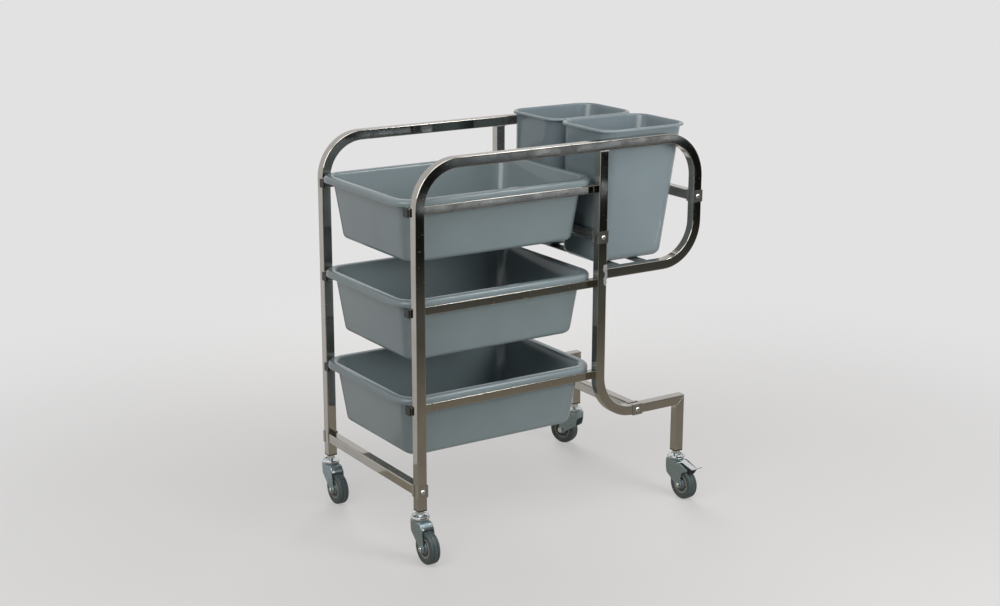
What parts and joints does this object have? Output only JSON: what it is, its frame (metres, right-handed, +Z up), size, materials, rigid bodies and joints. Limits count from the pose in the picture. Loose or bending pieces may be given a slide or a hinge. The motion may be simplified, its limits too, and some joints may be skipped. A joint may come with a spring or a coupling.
{
  "type": "tray return trolley",
  "caption": "Tube-framed tray return trolley on swivel casters, with bus tubs that slide in on side rails and lift-out waste bins in a rear loop.",
  "frame": {"origin": "on the floor below the middle of the trolley's box", "axes": "+X from the open tub end to the bin end, +Y from the near side frame to the far one, +Z up"},
  "size_m": [0.8536, 0.6527, 0.977],
  "materials": {
    "polished_stainless": "polished square tube",
    "zinc_plated_steel": "bright zinc plate",
    "grey_plastic": "moulded, satin",
    "black_plastic": "moulded, matt",
    "hub_plastic": "moulded, matt",
    "grey_rubber": "matt tread",
    "black_rubber": "matt"
  },
  "bodies": {
    "frame": {"side_loop_near": "polished_stainless", "side_loop_far": "polished_stainless", "rear_upright_near": "polished_stainless", "rear_upright_far": "polished_stainless", "rear_leg_near": "polished_stainless", "rear_leg_far": "polished_stainless", "top_rail_near": "polished_stainless", "top_rail_far": "polished_stainless", "middle_rail_near": "polished_stainless", "middle_rail_far": "polished_stainless", "bottom_rail_near": "polished_stainless", "bottom_rail_far": "polished_stainless", "rail_end_plugs": "black_plastic", "leg_plugs": "black_plastic", "front_crossbar": "polished_stainless", "rear_crossbar": "polished_stainless", "bin_front_bar": "polished_stainless", "bin_rear_bar": "polished_stainless", "bar_inserts": "zinc_plated_steel", "inner_saddles": "polished_stainless", "saddle_clips": "polished_stainless", "joint_bolts": "zinc_plated_steel", "front_slat": "polished_stainless", "rear_slat": "polished_stainless", "caster_stems": "zinc_plated_steel", "caster_races": "zinc_plated_steel"},
    "caster_front_near": {"fork_front_near": "zinc_plated_steel", "axle_front_near": "zinc_plated_steel"},
    "roller_front_near": {"wheel_front_near": "hub_plastic", "tyre_front_near": "grey_rubber", "bush_front_near": "black_plastic"},
    "caster_front_far": {"fork_front_far": "zinc_plated_steel", "axle_front_far": "zinc_plated_steel"},
    "roller_front_far": {"wheel_front_far": "hub_plastic", "tyre_front_far": "grey_rubber", "bush_front_far": "black_plastic"},
    "caster_rear_near": {"fork_rear_near": "zinc_plated_steel", "axle_rear_near": "zinc_plated_steel", "brake_pin_near": "zinc_plated_steel"},
    "roller_rear_near": {"wheel_rear_near": "hub_plastic", "tyre_rear_near": "grey_rubber", "bush_rear_near": "black_plastic"},
    "pedal_near": {"brake_pedal_near": "zinc_plated_steel", "brake_pad_near": "black_rubber"},
    "caster_rear_far": {"fork_rear_far": "zinc_plated_steel", "axle_rear_far": "zinc_plated_steel", "brake_pin_far": "zinc_plated_steel"},
    "roller_rear_far": {"wheel_rear_far": "hub_plastic", "tyre_rear_far": "grey_rubber", "bush_rear_far": "black_plastic"},
    "pedal_far": {"brake_pedal_far": "zinc_plated_steel", "brake_pad_far": "black_rubber"},
    "tub_top": {"top_tub": "grey_plastic"},
    "tub_middle": {"middle_tub": "grey_plastic"},
    "tub_bottom": {"bottom_tub": "grey_plastic"},
    "bin_near": {"near_bin": "grey_plastic"},
    "bin_far": {"far_bin": "grey_plastic"}
  },
  "joints": [
    {"name": "swivel_front_near", "type": "hinge", "parent": "frame", "child": "caster_front_near", "pos_m": [-0.39425, -0.2275, 0.105], "axis": [0, 0, 1], "continuous": true},
    {"name": "roll_front_near", "type": "hinge", "parent": "caster_front_near", "child": "roller_front_near", "pos_m": [-0.39425, -0.2615, 0.04], "axis": [1, 0, 0], "continuous": true},
    {"name": "swivel_front_far", "type": "hinge", "parent": "frame", "child": "caster_front_far", "pos_m": [-0.39425, 0.2275, 0.105], "axis": [0, 0, 1], "continuous": true},
    {"name": "roll_front_far", "type": "hinge", "parent": "caster_front_far", "child": "roller_front_far", "pos_m": [-0.39425, 0.1935, 0.04], "axis": [1, 0, 0], "continuous": true},
    {"name": "swivel_rear_near", "type": "hinge", "parent": "frame", "child": "caster_rear_near", "pos_m": [0.37875, -0.2275, 0.105], "axis": [0, 0, 1], "continuous": true},
    {"name": "roll_rear_near", "type": "hinge", "parent": "caster_rear_near", "child": "roller_rear_near", "pos_m": [0.37994, -0.26148, 0.04], "axis": [0.9994, 0.0349, 0], "continuous": true},
    {"name": "brake_near", "type": "hinge", "parent": "caster_rear_near", "child": "pedal_near", "pos_m": [0.37966, -0.25348, 0.0955], "axis": [0.9994, 0.0349, 0], "range_deg": [0, 7.2]},
    {"name": "swivel_rear_far", "type": "hinge", "parent": "frame", "child": "caster_rear_far", "pos_m": [0.37875, 0.2275, 0.105], "axis": [0, 0, 1], "continuous": true},
    {"name": "roll_rear_far", "type": "hinge", "parent": "caster_rear_far", "child": "roller_rear_far", "pos_m": [0.36712, 0.25945, 0.04], "axis": [-0.9397, -0.342, 0], "continuous": true},
    {"name": "brake_far", "type": "hinge", "parent": "caster_rear_far", "child": "pedal_far", "pos_m": [0.36986, 0.25193, 0.0955], "axis": [-0.9397, -0.342, 0], "range_deg": [0, 7.2]},
    {"name": "tub_slide_top", "type": "slide", "parent": "frame", "child": "tub_top", "axis": [-1, 0, 0], "range_m": [0, 0.55]},
    {"name": "tub_slide_middle", "type": "slide", "parent": "frame", "child": "tub_middle", "axis": [-1, 0, 0], "range_m": [0, 0.55]},
    {"name": "tub_slide_bottom", "type": "slide", "parent": "frame", "child": "tub_bottom", "axis": [-1, 0, 0], "range_m": [0, 0.55]},
    {"name": "bin_lift_near", "type": "slide", "parent": "frame", "child": "bin_near", "axis": [0, 0, 1], "range_m": [0, 0.36]},
    {"name": "bin_lift_far", "type": "slide", "parent": "frame", "child": "bin_far", "axis": [0, 0, 1], "range_m": [0, 0.36]}
  ]
}
